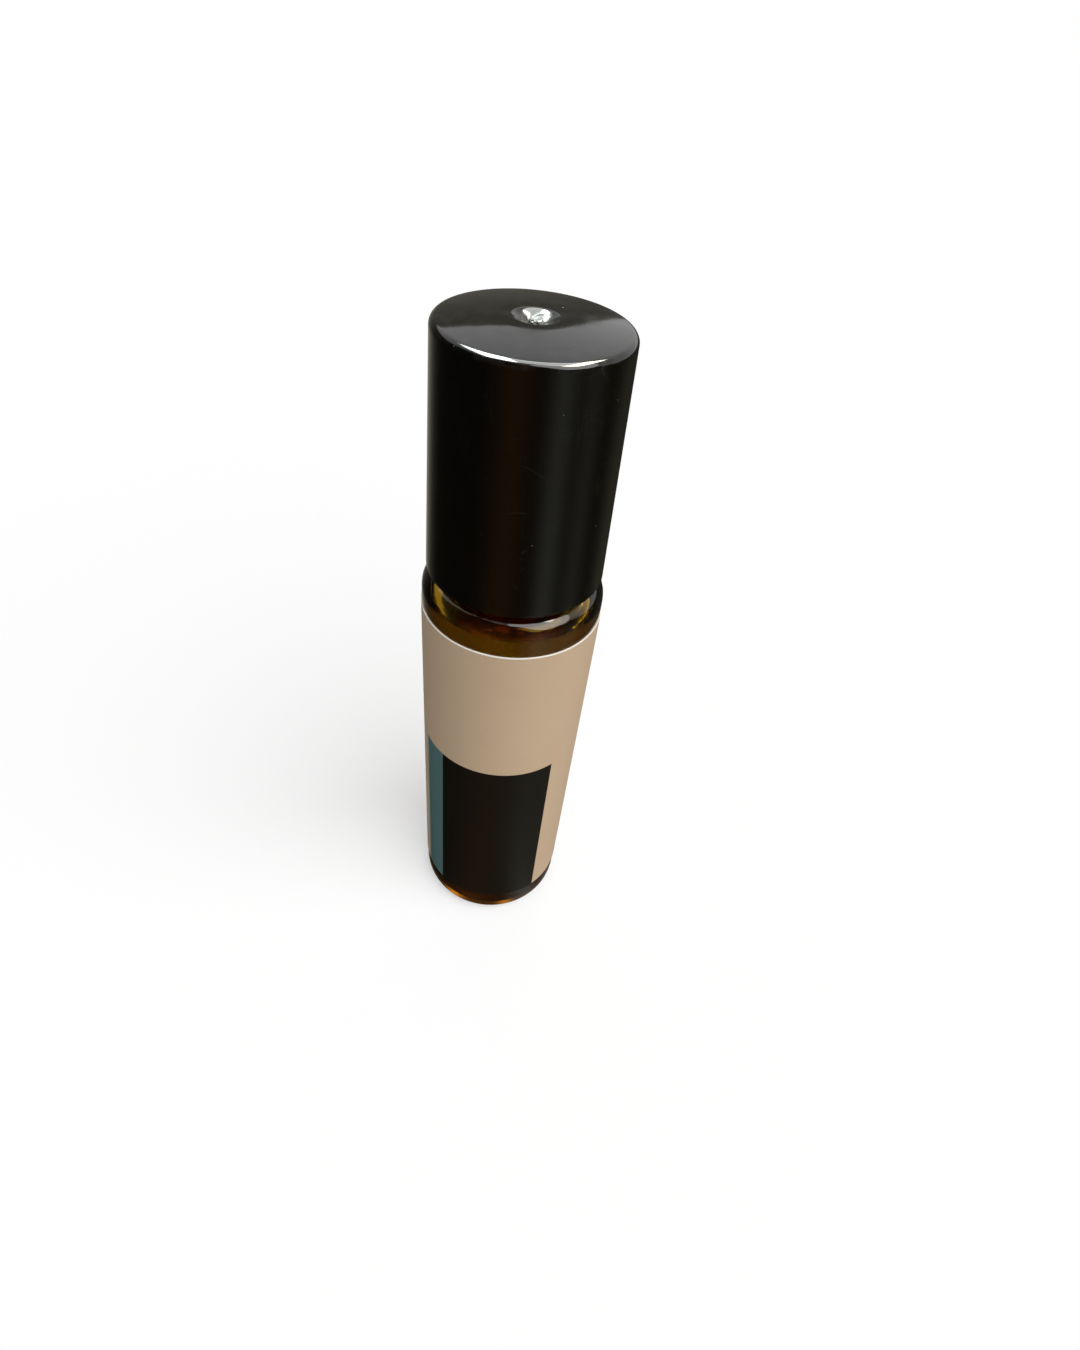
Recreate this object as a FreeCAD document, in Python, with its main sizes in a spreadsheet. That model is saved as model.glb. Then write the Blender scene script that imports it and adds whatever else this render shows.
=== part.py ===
"""A 10 ml roll-on bottle: amber glass, a paper label, its liquid, a roller fitment with its ball, and a cap.

Millimetres, +Z up. The origin is the centre of the base, on the surface that the bottle stands on.
Every piece turns about the Z axis, so most are half profiles in the XZ plane that are revolved.
"""
import FreeCAD, Part
import math
import os
from collections import namedtuple

import Sketcher

# The driving sizes, in millimetres unless the name says count or share.
SIZES = {
    # Glass bottle
    "body_diameter": 20.4,
    "heel_radius": 1.8,
    "bearing_width": 1.6,
    "push_up_depth": 0.9,
    "base_thickness": 4.0,
    "wall_thickness": 2.2,
    "floor_radius": 2.4,
    "shoulder_height": 58.7,
    "shoulder_round_share": 0.86,
    "ceiling_round_share": 0.55,
    "throat_round_share": 0.35,
    "neck_diameter": 14.6,
    "neck_height": 12.6,
    "neck_root_share": 0.12,
    "bore_diameter": 11.2,
    "rim_round_share": 0.26,
    # Liquid
    "oil_headspace": 0.2,
    "oil_gap": 0.03,
    # Label
    "label_thickness": 0.1,
    "label_glue": 0.02,
    "label_foot_margin": 2.9,
    "label_head_margin": 1.7,
    "label_seam_gap": 0.05,
    # Roller ball
    "ball_diameter": 9.5,
    "ball_clearance": 0.08,
    "ball_rise_share": 0.716,
    # Roller fitment
    "flange_inset": 0.3,
    "flange_thickness": 1.0,
    "flange_round_share": 0.3,
    "plug_length": 6.5,
    "plug_clearance": 0.1,
    "plug_lead": 0.5,
    "plug_wall": 1.1,
    "seal_bite": 0.05,
    "seal_width": 0.9,
    "seal_pitch": 1.6,
    "seal_top_share": 0.8,
    "seal_count": 3,
    "seat_thickness": 0.9,
    "collar_foot_wall": 1.35,
    "collar_lip_wall": 0.65,
    "lip_height_share": 0.326,
    "lip_round_share": 0.35,
    "feed_hole_diameter": 5.2,
    "feed_slot_length": 0.8,
    "feed_slot_width": 0.8,
    "feed_slot_count": 4,
    # Screw cap
    "cap_gap": 0.6,
    "thread_height": 0.75,
    "thread_clearance": 0.25,
    "cap_wall": 1.4,
    "cap_draft": 0.6,
    "cap_edge_radius": 0.7,
    "cap_mouth_round_share": 0.25,
    "cap_lead": 0.35,
    "cap_top_thickness": 1.75,
    "cap_dome_height": 0.65,
    "cap_headroom": 3.15,
    "cap_step_height": 0.8,
    "flange_clearance": 0.6,
    "seal_ring_diameter": 6.0,
    "seal_ring_wall": 0.9,
    "seal_ring_reach": 0.4,
    "seal_gap": 0.12,
    "ceiling_corner_radius": 0.6,
    "ring_corner_radius": 0.3,
    "gate_dimple_diameter": 4.4,
    "gate_dimple_depth": 0.8,
    "gate_stub_diameter": 1.2,
    "gate_stub_height": 0.35,
    # How far a cut runs past the face that it opens
    "overrun": 1.0,
}
SHEET = "Sizes"
FULL_TURN = 360


class Size:
    """A length that holds its sheet expression together with its present value."""

    def __init__(self, text, value):
        self.text = text
        self.value = value

    def _with(self, sign, other, value):
        """Join two sizes, or a size and a plain factor, into one expression."""
        other_text = other.text if isinstance(other, Size) else repr(other)
        return Size(f"({self.text} {sign} {other_text})", value)

    def __add__(self, other):
        return self._with("+", other, self.value + other.value)

    def __sub__(self, other):
        return self._with("-", other, self.value - other.value)

    def __mul__(self, other):
        factor = other.value if isinstance(other, Size) else other
        return self._with("*", other, self.value * factor)

    def __truediv__(self, other):
        divisor = other.value if isinstance(other, Size) else other
        return self._with("/", other, self.value / divisor)

    def root(self):
        """The square root of a squared size."""
        return Size(f"sqrt({self.text})", math.sqrt(self.value))


def size(alias):
    """One driving size of the sheet."""
    return Size(f"{SHEET}.{alias}", SIZES[alias])


def leg(long_side, short_side):
    """The third side of a right triangle, from its longest side and one other."""
    return (long_side * long_side - short_side * short_side).root()


ZERO = Size("0", 0.0)

# Glass bottle: radii and heights
body_radius = size("body_diameter") / 2
neck_radius = size("neck_diameter") / 2
bore_radius = size("bore_diameter") / 2
chamber_radius = body_radius - size("wall_thickness")
push_up_radius = body_radius - size("heel_radius") - size("bearing_width")
shoulder = size("shoulder_height")
shoulder_round = (body_radius - neck_radius) * size("shoulder_round_share")
neck_root = (body_radius - neck_radius) * size("neck_root_share")
rim = shoulder + size("neck_height")
rim_round = (neck_radius - bore_radius) * size("rim_round_share")
ceiling = shoulder - size("wall_thickness")
ceiling_round = (chamber_radius - bore_radius) * size("ceiling_round_share")
throat_round = (chamber_radius - bore_radius) * size("throat_round_share")

# Liquid, up to just below the round under the shoulder
oil_radius = chamber_radius - size("oil_gap")
oil_floor = size("base_thickness") + size("oil_gap")
oil_level = ceiling - ceiling_round - size("oil_headspace")

# Label, on the straight part of the body
label_inner = body_radius + size("label_glue")
label_outer = label_inner + size("label_thickness")
label_foot = size("heel_radius") + size("label_foot_margin")
label_head = shoulder - shoulder_round - size("label_head_margin")

# Ball and its socket
ball_radius = size("ball_diameter") / 2
ball_centre = rim + ball_radius * size("ball_rise_share")
socket_radius = ball_radius + size("ball_clearance")

# Fitment
plug_radius = bore_radius - size("plug_clearance")
plug_foot = rim - size("plug_length")
tube_radius = plug_radius - size("plug_wall")
flange_radius = neck_radius - size("flange_inset")
flange_top = rim + size("flange_thickness")
flange_round = size("flange_thickness") * size("flange_round_share")
lip_top = ball_centre + ball_radius * size("lip_height_share")
collar_foot = socket_radius + size("collar_foot_wall")
collar_lip = socket_radius + size("collar_lip_wall")
lip_round = size("collar_lip_wall") * size("lip_round_share")
cup_radius = socket_radius + size("seat_thickness")
feed_radius = size("feed_hole_diameter") / 2
seal_radius = bore_radius + size("seal_bite")

# Cap
cap_mouth = shoulder + size("cap_gap")
cap_bore = neck_radius + size("thread_height") + size("thread_clearance")
cap_mouth_radius = cap_bore + size("cap_wall")
cap_top_radius = cap_mouth_radius - size("cap_draft")
cap_upper_bore = flange_radius + size("flange_clearance")
cap_step = rim - size("cap_step_height")
cap_ceiling = ball_centre + ball_radius + size("cap_headroom")
cap_top = cap_ceiling + size("cap_top_thickness")
cap_centre_top = cap_top + size("cap_dome_height")
seal_ring_inner = size("seal_ring_diameter") / 2
seal_ring_outer = seal_ring_inner + size("seal_ring_wall")
seal_ring_foot = ball_centre + leg(ball_radius, seal_ring_inner) - size("seal_ring_reach")
mouth_round = size("cap_wall") * size("cap_mouth_round_share")
dimple_radius = size("gate_dimple_diameter") / 2
dimple_floor = cap_centre_top - size("gate_dimple_depth")
stub_radius = size("gate_stub_diameter") / 2

Corner = namedtuple("Corner", "across up round dome", defaults=(None, False))

doc = FreeCAD.newDocument("roll_on_bottle")


def make_sheet():
    """Write the driving sizes into the sheet, one aliased cell each."""
    sheet = doc.addObject("Spreadsheet::Sheet", SHEET)
    for row, (alias, value) in enumerate(SIZES.items(), start=1):
        sheet.set(f"A{row}", alias)
        sheet.set(f"B{row}", str(value))
        sheet.setAlias(f"B{row}", alias)
    doc.recompute()


def make_body(label):
    """An empty body whose label names the piece."""
    body = doc.addObject("PartDesign::Body", label)
    body.Label = label
    return body


def make_sketch(body, name, role):
    """An empty sketch on one of the body's own origin planes."""
    plane = next(p for p in body.Origin.OriginFeatures if p.Role == role)
    sketch = body.newObject("Sketcher::SketchObject", name)
    sketch.AttachmentSupport = [(plane, "")]
    sketch.MapMode = "FlatFace"
    return sketch


def bind(sketch, kind, geometry, point, length, name):
    """Hold a point at a bound distance from the sketch origin, or on the axis where that is zero."""
    if length.text == ZERO.text:
        axis = -2 if kind == "DistanceX" else -1
        sketch.addConstraint(Sketcher.Constraint("PointOnObject", geometry, point, axis))
        return
    number = sketch.addConstraint(Sketcher.Constraint(kind, -1, 1, geometry, point, length.value))
    sketch.renameConstraint(number, name)
    sketch.setExpression(f"Constraints.{name}", length.text)


def pin(sketch, corner, number, geometry, point):
    """Hold a point of the outline at its corner's two bound distances."""
    bind(sketch, "DistanceX", geometry, point, corner.across, f"across_{number}")
    bind(sketch, "DistanceY", geometry, point, corner.up, f"up_{number}")


def spot(corner):
    """The corner's present place in its sketch."""
    return FreeCAD.Vector(corner.across.value, corner.up.value, 0)


def arc_between(centre, start, end):
    """The anticlockwise arc, under half a turn or just that, that joins two points about a centre."""
    circle = Part.Circle(centre, FreeCAD.Vector(0, 0, 1), (start - centre).Length)
    first, last = (math.atan2(p.y - centre.y, p.x - centre.x) for p in (start, end))
    if (last - first) % (2 * math.pi) > math.pi:
        first, last = last, first
    return Part.ArcOfCircle(circle, first, last)


def dome_arc(start, end):
    """The arc between two points whose centre lies on the turning axis."""
    lift = (end.x ** 2 + end.y ** 2 - start.x ** 2 - start.y ** 2) / (2 * (end.y - start.y))
    return arc_between(FreeCAD.Vector(0, lift, 0), start, end)


def round_arc(before, at, after, radius):
    """The arc that rounds a corner off, and the two points where it leaves the corner's sides."""
    back = (before - at).normalize()
    ahead = (after - at).normalize()
    half = back.getAngle(ahead) / 2
    run = radius / math.tan(half)
    start, end = at + back * run, at + ahead * run
    centre = at + (back + ahead).normalize() * (radius / math.sin(half))
    return arc_between(centre, start, end), start, end


def ends_of(shape, start):
    """The sketch's numbers of a side's two ends, the one at the start point first."""
    from_start = (shape.StartPoint - start).Length <= (shape.EndPoint - start).Length
    return (1, 2) if from_start else (2, 1)


def draw_outline(sketch, corners):
    """Draw a closed outline through the corners, rounded or domed where they say so.

    A plain corner is pinned where two sides meet. A rounded corner is pinned as a point that both
    sides run through, with a tangent arc between them. A dome is an arc about the turning axis.
    """
    count = len(corners)
    spots = [spot(corner) for corner in corners]
    leaves, reaches, arcs = list(spots), list(spots), {}
    for i, corner in enumerate(corners):
        if corner.round:
            arc, reach, leave = round_arc(spots[i - 1], spots[i], spots[(i + 1) % count], corner.round.value)
            arcs[i], reaches[i], leaves[i] = arc, reach, leave
    sides, ends = [], []
    for i, corner in enumerate(corners):
        start, end = leaves[i], reaches[(i + 1) % count]
        shape = dome_arc(start, end) if corner.dome else Part.LineSegment(start, end)
        sides.append(sketch.addGeometry(shape, False))
        ends.append(ends_of(shape, start))
        if corner.dome:
            sketch.addConstraint(Sketcher.Constraint("PointOnObject", sides[i], 3, -2))
    for i, corner in enumerate(corners):
        side_in, side_out = sides[i - 1], sides[i]
        point_in, point_out = ends[i - 1][1], ends[i][0]
        if not corner.round:
            sketch.addConstraint(Sketcher.Constraint("Coincident", side_in, point_in, side_out, point_out))
            pin(sketch, corner, i, side_out, point_out)
            continue
        mark = sketch.addGeometry(Part.Point(spots[i]), True)
        pin(sketch, corner, i, mark, 1)
        for side in (side_in, side_out):
            sketch.addConstraint(Sketcher.Constraint("PointOnObject", mark, 1, side))
        arc = sketch.addGeometry(arcs[i], False)
        arc_in, arc_out = ends_of(arcs[i], reaches[i])
        sketch.addConstraint(Sketcher.Constraint("Tangent", side_in, point_in, arc, arc_in))
        sketch.addConstraint(Sketcher.Constraint("Tangent", arc, arc_out, side_out, point_out))
        radius = sketch.addConstraint(Sketcher.Constraint("Radius", arc, corner.round.value))
        sketch.renameConstraint(radius, f"round_{i}")
        sketch.setExpression(f"Constraints.round_{i}", corner.round.text)


def turn(body, kind, name, corners):
    """Revolve a half profile about Z, to add (Revolution) or to cut (Groove)."""
    before = body.Shape.Volume if body.Tip else 0
    sketch = make_sketch(body, f"{name}_profile", "XZ_Plane")
    draw_outline(sketch, corners)
    doc.recompute()
    feature = body.newObject(f"PartDesign::{kind}", name)
    feature.Profile = sketch
    feature.ReferenceAxis = (sketch, ["V_Axis"])
    feature.Angle = FULL_TURN
    doc.recompute()
    grown = body.Shape.Volume > before
    if grown != (kind == "Revolution"):
        raise RuntimeError(f"{name} did not change {body.Label} the way it should")
    return feature


def ball_profile(radius):
    """Half of a circle about the ball's centre, closed along the axis."""
    return [Corner(ZERO, ball_centre - radius, dome=True), Corner(ZERO, ball_centre + radius)]


def make_glass_bottle():
    """The bottle: outside with push-up, heel, shoulder and neck, then the chamber and bore inside."""
    body = make_body("glass_bottle")
    turn(body, "Revolution", "bottle_outside", [
        Corner(ZERO, size("push_up_depth"), dome=True),
        Corner(push_up_radius, ZERO),
        Corner(body_radius, ZERO, size("heel_radius")),
        Corner(body_radius, shoulder, shoulder_round),
        Corner(neck_radius, shoulder, neck_root),
        Corner(neck_radius, rim, rim_round),
        Corner(ZERO, rim),
    ])
    turn(body, "Groove", "bottle_chamber", [
        Corner(ZERO, size("base_thickness")),
        Corner(chamber_radius, size("base_thickness"), size("floor_radius")),
        Corner(chamber_radius, ceiling, ceiling_round),
        Corner(bore_radius, ceiling, throat_round),
        Corner(bore_radius, rim + size("overrun")),
        Corner(ZERO, rim + size("overrun")),
    ])
    return body


def make_oil_fill():
    """The liquid, a hair inside the chamber's wall and floor."""
    body = make_body("oil_fill")
    turn(body, "Revolution", "oil_volume", [
        Corner(ZERO, oil_floor),
        Corner(oil_radius, oil_floor, size("floor_radius") - size("oil_gap")),
        Corner(oil_radius, oil_level),
        Corner(ZERO, oil_level),
    ])
    return body


def make_wrap_label():
    """The label, one sheet round the body with its seam at the back, on +Y."""
    body = make_body("wrap_label")
    sheet_wrap = turn(body, "Revolution", "label_wrap", [
        Corner(label_inner, label_foot),
        Corner(label_outer, label_foot),
        Corner(label_outer, label_head),
        Corner(label_inner, label_head),
    ])
    seam_turn = size("label_seam_gap") / label_outer
    sheet_wrap.Midplane = True
    sheet_wrap.setExpression("Angle", f"{FULL_TURN} - {seam_turn.text} * 180 / pi")
    facing_front = FreeCAD.Rotation(FreeCAD.Vector(0, 0, 1), -90)
    body.Placement = FreeCAD.Placement(FreeCAD.Vector(), facing_front)
    return body


def make_roller_ball():
    """The ball, centred a little above the bottle's rim."""
    ball = doc.addObject("Part::Sphere", "roller_ball")
    ball.Label = "roller_ball"
    ball.setExpression("Radius", ball_radius.text)
    ball.setExpression("Placement.Base.z", ball_centre.text)
    return ball


def add_seal_rings(body):
    """Rounded rings round the plug that bite into the bottle's bore."""
    seal_top = rim - size("seal_pitch") * size("seal_top_share")
    ring = turn(body, "Revolution", "seal_ring", [
        Corner(tube_radius, seal_top - size("seal_width")),
        Corner(plug_radius, seal_top - size("seal_width")),
        Corner(seal_radius, seal_top - size("seal_width") / 2),
        Corner(plug_radius, seal_top),
        Corner(tube_radius, seal_top),
    ])
    rings = body.newObject("PartDesign::LinearPattern", "seal_rings")
    rings.Originals = [ring]
    rings.Direction = (ring.Profile[0], ["V_Axis"])
    rings.Reversed = True
    rings.setExpression("Length", f"{SHEET}.seal_pitch * ({SHEET}.seal_count - 1)")
    rings.setExpression("Occurrences", f"{SHEET}.seal_count")
    body.Tip = rings
    doc.recompute()


def add_feed_slots(body):
    """Slots in the seat, spread round the feed hole, that let the liquid reach the ball."""
    sketch = make_sketch(body, "feed_slot_profile", "XY_Plane")
    half_width = size("feed_slot_width").value / 2
    slot_end = feed_radius + size("feed_slot_length")
    places = [(0, -half_width), (slot_end.value, -half_width), (slot_end.value, half_width), (0, half_width)]
    points = [FreeCAD.Vector(x, y, 0) for x, y in places]
    near, end, far, start = (
        sketch.addGeometry(Part.LineSegment(points[i - 4], points[i - 3]), False) for i in range(4)
    )
    for side, following in ((near, end), (end, far), (far, start), (start, near)):
        sketch.addConstraint(Sketcher.Constraint("Coincident", side, 2, following, 1))
    for side in (near, far):
        sketch.addConstraint(Sketcher.Constraint("Horizontal", side))
    sketch.addConstraint(Sketcher.Constraint("Vertical", start))
    sketch.addConstraint(Sketcher.Constraint("PointOnObject", start, 1, -2))
    sketch.addConstraint(Sketcher.Constraint("Symmetric", end, 1, end, 2, -1))
    bind(sketch, "DistanceX", end, 1, slot_end, "slot_end")
    width = sketch.addConstraint(Sketcher.Constraint("DistanceY", end, 1, end, 2, 2 * half_width))
    sketch.renameConstraint(width, "slot_width")
    sketch.setExpression("Constraints.slot_width", size("feed_slot_width").text)
    doc.recompute()
    before = body.Shape.Volume
    slot = body.newObject("PartDesign::Pocket", "feed_slot")
    slot.Profile = sketch
    slot.Reversed = True
    slot.Type = "Length"
    slot.setExpression("Length", ball_centre.text)
    slots = body.newObject("PartDesign::PolarPattern", "feed_slots")
    slots.Originals = [slot]
    slots.Axis = (sketch, ["N_Axis"])
    slots.Angle = FULL_TURN
    slots.setExpression("Occurrences", f"{SHEET}.feed_slot_count")
    body.Tip = slots
    doc.recompute()
    if body.Shape.Volume >= before:
        raise RuntimeError("the feed slots cut nothing")


def make_roller_fitment():
    """The fitment: plug, flange and collar, a cup with a round socket, its feed hole and seal rings."""
    body = make_body("roller_fitment")
    turn(body, "Revolution", "fitment_outside", [
        Corner(ZERO, plug_foot),
        Corner(plug_radius - size("plug_lead"), plug_foot),
        Corner(plug_radius, plug_foot + size("plug_lead")),
        Corner(plug_radius, rim),
        Corner(flange_radius, rim, flange_round),
        Corner(flange_radius, flange_top, flange_round),
        Corner(collar_foot, flange_top, flange_round),
        Corner(collar_lip, lip_top, lip_round),
        Corner(ZERO, lip_top),
    ])
    turn(body, "Groove", "fitment_tube", [
        Corner(ZERO, plug_foot - size("overrun")),
        Corner(tube_radius, plug_foot - size("overrun")),
        Corner(tube_radius, rim),
        Corner(ZERO, rim),
    ])
    turn(body, "Revolution", "ball_cup", [
        Corner(ZERO, ball_centre - cup_radius, dome=True),
        Corner(leg(cup_radius, ball_centre - rim), rim),
        Corner(ZERO, rim),
    ])
    turn(body, "Groove", "ball_socket", ball_profile(socket_radius))
    turn(body, "Groove", "feed_hole", [
        Corner(ZERO, ball_centre - cup_radius - size("overrun")),
        Corner(feed_radius, ball_centre - cup_radius - size("overrun")),
        Corner(feed_radius, ball_centre),
        Corner(ZERO, ball_centre),
    ])
    add_feed_slots(body)
    add_seal_rings(body)
    return body


def make_screw_cap():
    """The cap: tapered outside with a domed top, stepped bore, ball seal ring and gate dimple."""
    body = make_body("screw_cap")
    turn(body, "Revolution", "cap_outside", [
        Corner(ZERO, cap_mouth),
        Corner(cap_mouth_radius, cap_mouth, mouth_round),
        Corner(cap_top_radius, cap_top, size("cap_edge_radius"), dome=True),
        Corner(ZERO, cap_centre_top),
    ])
    turn(body, "Groove", "cap_inside", [
        Corner(ZERO, cap_mouth - size("overrun")),
        Corner(cap_bore + size("cap_lead") + size("overrun"), cap_mouth - size("overrun")),
        Corner(cap_bore, cap_mouth + size("cap_lead")),
        Corner(cap_bore, cap_step),
        Corner(cap_upper_bore, rim),
        Corner(cap_upper_bore, cap_ceiling, size("ceiling_corner_radius")),
        Corner(seal_ring_outer, cap_ceiling, size("ring_corner_radius")),
        Corner(seal_ring_outer, seal_ring_foot),
        Corner(seal_ring_inner, seal_ring_foot),
        Corner(seal_ring_inner, cap_ceiling, size("ring_corner_radius")),
        Corner(ZERO, cap_ceiling),
    ])
    turn(body, "Groove", "ball_relief", ball_profile(ball_radius + size("seal_gap")))
    turn(body, "Groove", "gate_dimple", [
        Corner(ZERO, dimple_floor, dome=True),
        Corner(dimple_radius, cap_centre_top),
        Corner(ZERO, cap_centre_top),
    ])
    turn(body, "Revolution", "gate_stub", [
        Corner(ZERO, dimple_floor - size("gate_stub_height")),
        Corner(stub_radius, dimple_floor - size("gate_stub_height")),
        Corner(stub_radius, dimple_floor + size("gate_stub_height")),
        Corner(ZERO, dimple_floor + size("gate_stub_height")),
    ])
    return body


def check_document(pieces):
    """Stop if any object failed, or any piece is not one sound solid."""
    for thing in doc.Objects:
        if {"Invalid", "Error"} & set(thing.State):
            raise RuntimeError(f"{thing.Label} did not compute: {thing.State}")
    for piece in pieces:
        shape = piece.Shape
        if shape.isNull() or not shape.isValid() or len(shape.Solids) != 1:
            raise RuntimeError(f"{piece.Label} is not one valid solid")


def main():
    """Build every piece, check the document and write one file per piece."""
    make_sheet()
    pieces = [
        make_glass_bottle(),
        make_oil_fill(),
        make_wrap_label(),
        make_roller_fitment(),
        make_roller_ball(),
        make_screw_cap(),
    ]
    doc.recompute()
    check_document(pieces)
    os.makedirs("parts", exist_ok=True)
    for piece in pieces:
        piece.Shape.exportStep(f"parts/{piece.Label}.step")
        box = piece.Shape.BoundBox
        print(f"{piece.Label}: {piece.Shape.Volume:.1f} mm3, z {box.ZMin:.2f} to {box.ZMax:.2f}")


main()
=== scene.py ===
"""A small amber roll-on bottle, dressed for its portrait.

Sizes are millimetres until a mesh is written, which is in metres. Most pieces are half profiles that are
carried round the Z axis, with moulded detail such as threads and seams added as a shift of their points.
The frame gives the main sizes, and each class holds the finer ones of its own piece.
"""
import logging
import math
from dataclasses import dataclass, replace
from enum import Enum
from typing import Any, Callable, Mapping, Optional, Protocol, Sequence, Union

import bpy
import numpy as np
from mathutils import Matrix, Vector


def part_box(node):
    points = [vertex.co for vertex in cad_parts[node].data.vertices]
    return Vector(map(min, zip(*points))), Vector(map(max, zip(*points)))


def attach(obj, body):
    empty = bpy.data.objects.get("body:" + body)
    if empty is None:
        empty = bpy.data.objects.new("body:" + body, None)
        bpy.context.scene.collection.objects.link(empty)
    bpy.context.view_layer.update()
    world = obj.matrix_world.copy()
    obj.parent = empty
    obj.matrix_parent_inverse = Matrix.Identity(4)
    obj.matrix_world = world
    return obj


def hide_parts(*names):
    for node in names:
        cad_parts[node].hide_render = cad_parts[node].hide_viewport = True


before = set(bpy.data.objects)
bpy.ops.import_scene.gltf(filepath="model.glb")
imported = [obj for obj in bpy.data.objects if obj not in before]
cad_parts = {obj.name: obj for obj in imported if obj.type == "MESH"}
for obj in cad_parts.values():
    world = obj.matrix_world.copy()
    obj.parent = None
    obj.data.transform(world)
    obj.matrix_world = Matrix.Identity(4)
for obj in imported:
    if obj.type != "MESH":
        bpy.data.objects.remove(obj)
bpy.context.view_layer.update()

MM = 0.001
TURN = 2 * math.pi
SHARP_ANGLE = math.radians(38)

Array = np.ndarray
Colour = tuple[float, float, float]
Shift = Callable[[Array, Array, Array], tuple[Array, Array]]

log = logging.getLogger("roll_on_bottle")


class Body(Enum):
    """The moving bodies that the pieces ride on."""

    BOTTLE = "bottle"
    BALL = "ball"
    CAP = "cap"


class Face(Enum):
    """The three kinds of face on the wrapped label, by material index."""

    PRINTED = 0
    BACK = 1
    CUT_EDGE = 2


class Ray(Enum):
    """The kinds of ray that see the white surroundings."""

    CAMERA = "Is Camera Ray"
    GLOSSY = "Is Glossy Ray"
    TRANSMISSION = "Is Transmission Ray"


# Shader graphs


Operand = Union["Signal", float]


class Signal:
    """A shader value that Python's operators turn into Math nodes."""

    def __init__(self, graph: "Graph", socket: bpy.types.NodeSocket) -> None:
        """Hold a socket and the graph that it belongs to."""
        self.graph = graph
        self.socket = socket

    def math(self, operation: str, *others: Operand, first: bool = True) -> "Signal":
        """Add a Math node.

        Args:
            operation: The Math node's operation.
            others: The other operands.
            first: Whether this value comes before the others.

        Returns:
            The node's value.
        """
        operands = (self, *others) if first else (*others, self)
        node = self.graph.node("ShaderNodeMath", {"operation": operation}, dict(enumerate(operands)))
        return Signal(self.graph, node.outputs[0])

    def __add__(self, other: Operand) -> "Signal":
        """This value plus the other."""
        return self.math("ADD", other)

    def __sub__(self, other: Operand) -> "Signal":
        """This value less the other."""
        return self.math("SUBTRACT", other)

    def __rsub__(self, other: Operand) -> "Signal":
        """The other less this value."""
        return self.math("SUBTRACT", other, first=False)

    def __mul__(self, other: Operand) -> "Signal":
        """This value times the other."""
        return self.math("MULTIPLY", other)

    def __truediv__(self, other: Operand) -> "Signal":
        """This value divided by the other."""
        return self.math("DIVIDE", other)

    __radd__ = __add__
    __rmul__ = __mul__

    def larger(self, other: Operand) -> "Signal":
        """The larger of this value and the other."""
        return self.math("MAXIMUM", other)

    def step(self, low: float, high: float) -> "Signal":
        """A smooth step from 0 at the low value to 1 at the high one."""
        node = self.graph.node(
            "ShaderNodeMapRange",
            {"interpolation_type": "SMOOTHSTEP"},
            {"Value": self, "From Min": low, "From Max": high},
        )
        return Signal(self.graph, node.outputs[0])

    def band(self, low: float, high: float, soft: float) -> "Signal":
        """One between the low and high values and nothing outside, with soft edges."""
        return self.step(low - soft, low + soft) * (1 - self.step(high - soft, high + soft))


Feed = Union[Signal, bpy.types.NodeSocket, float, Sequence[float]]


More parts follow.
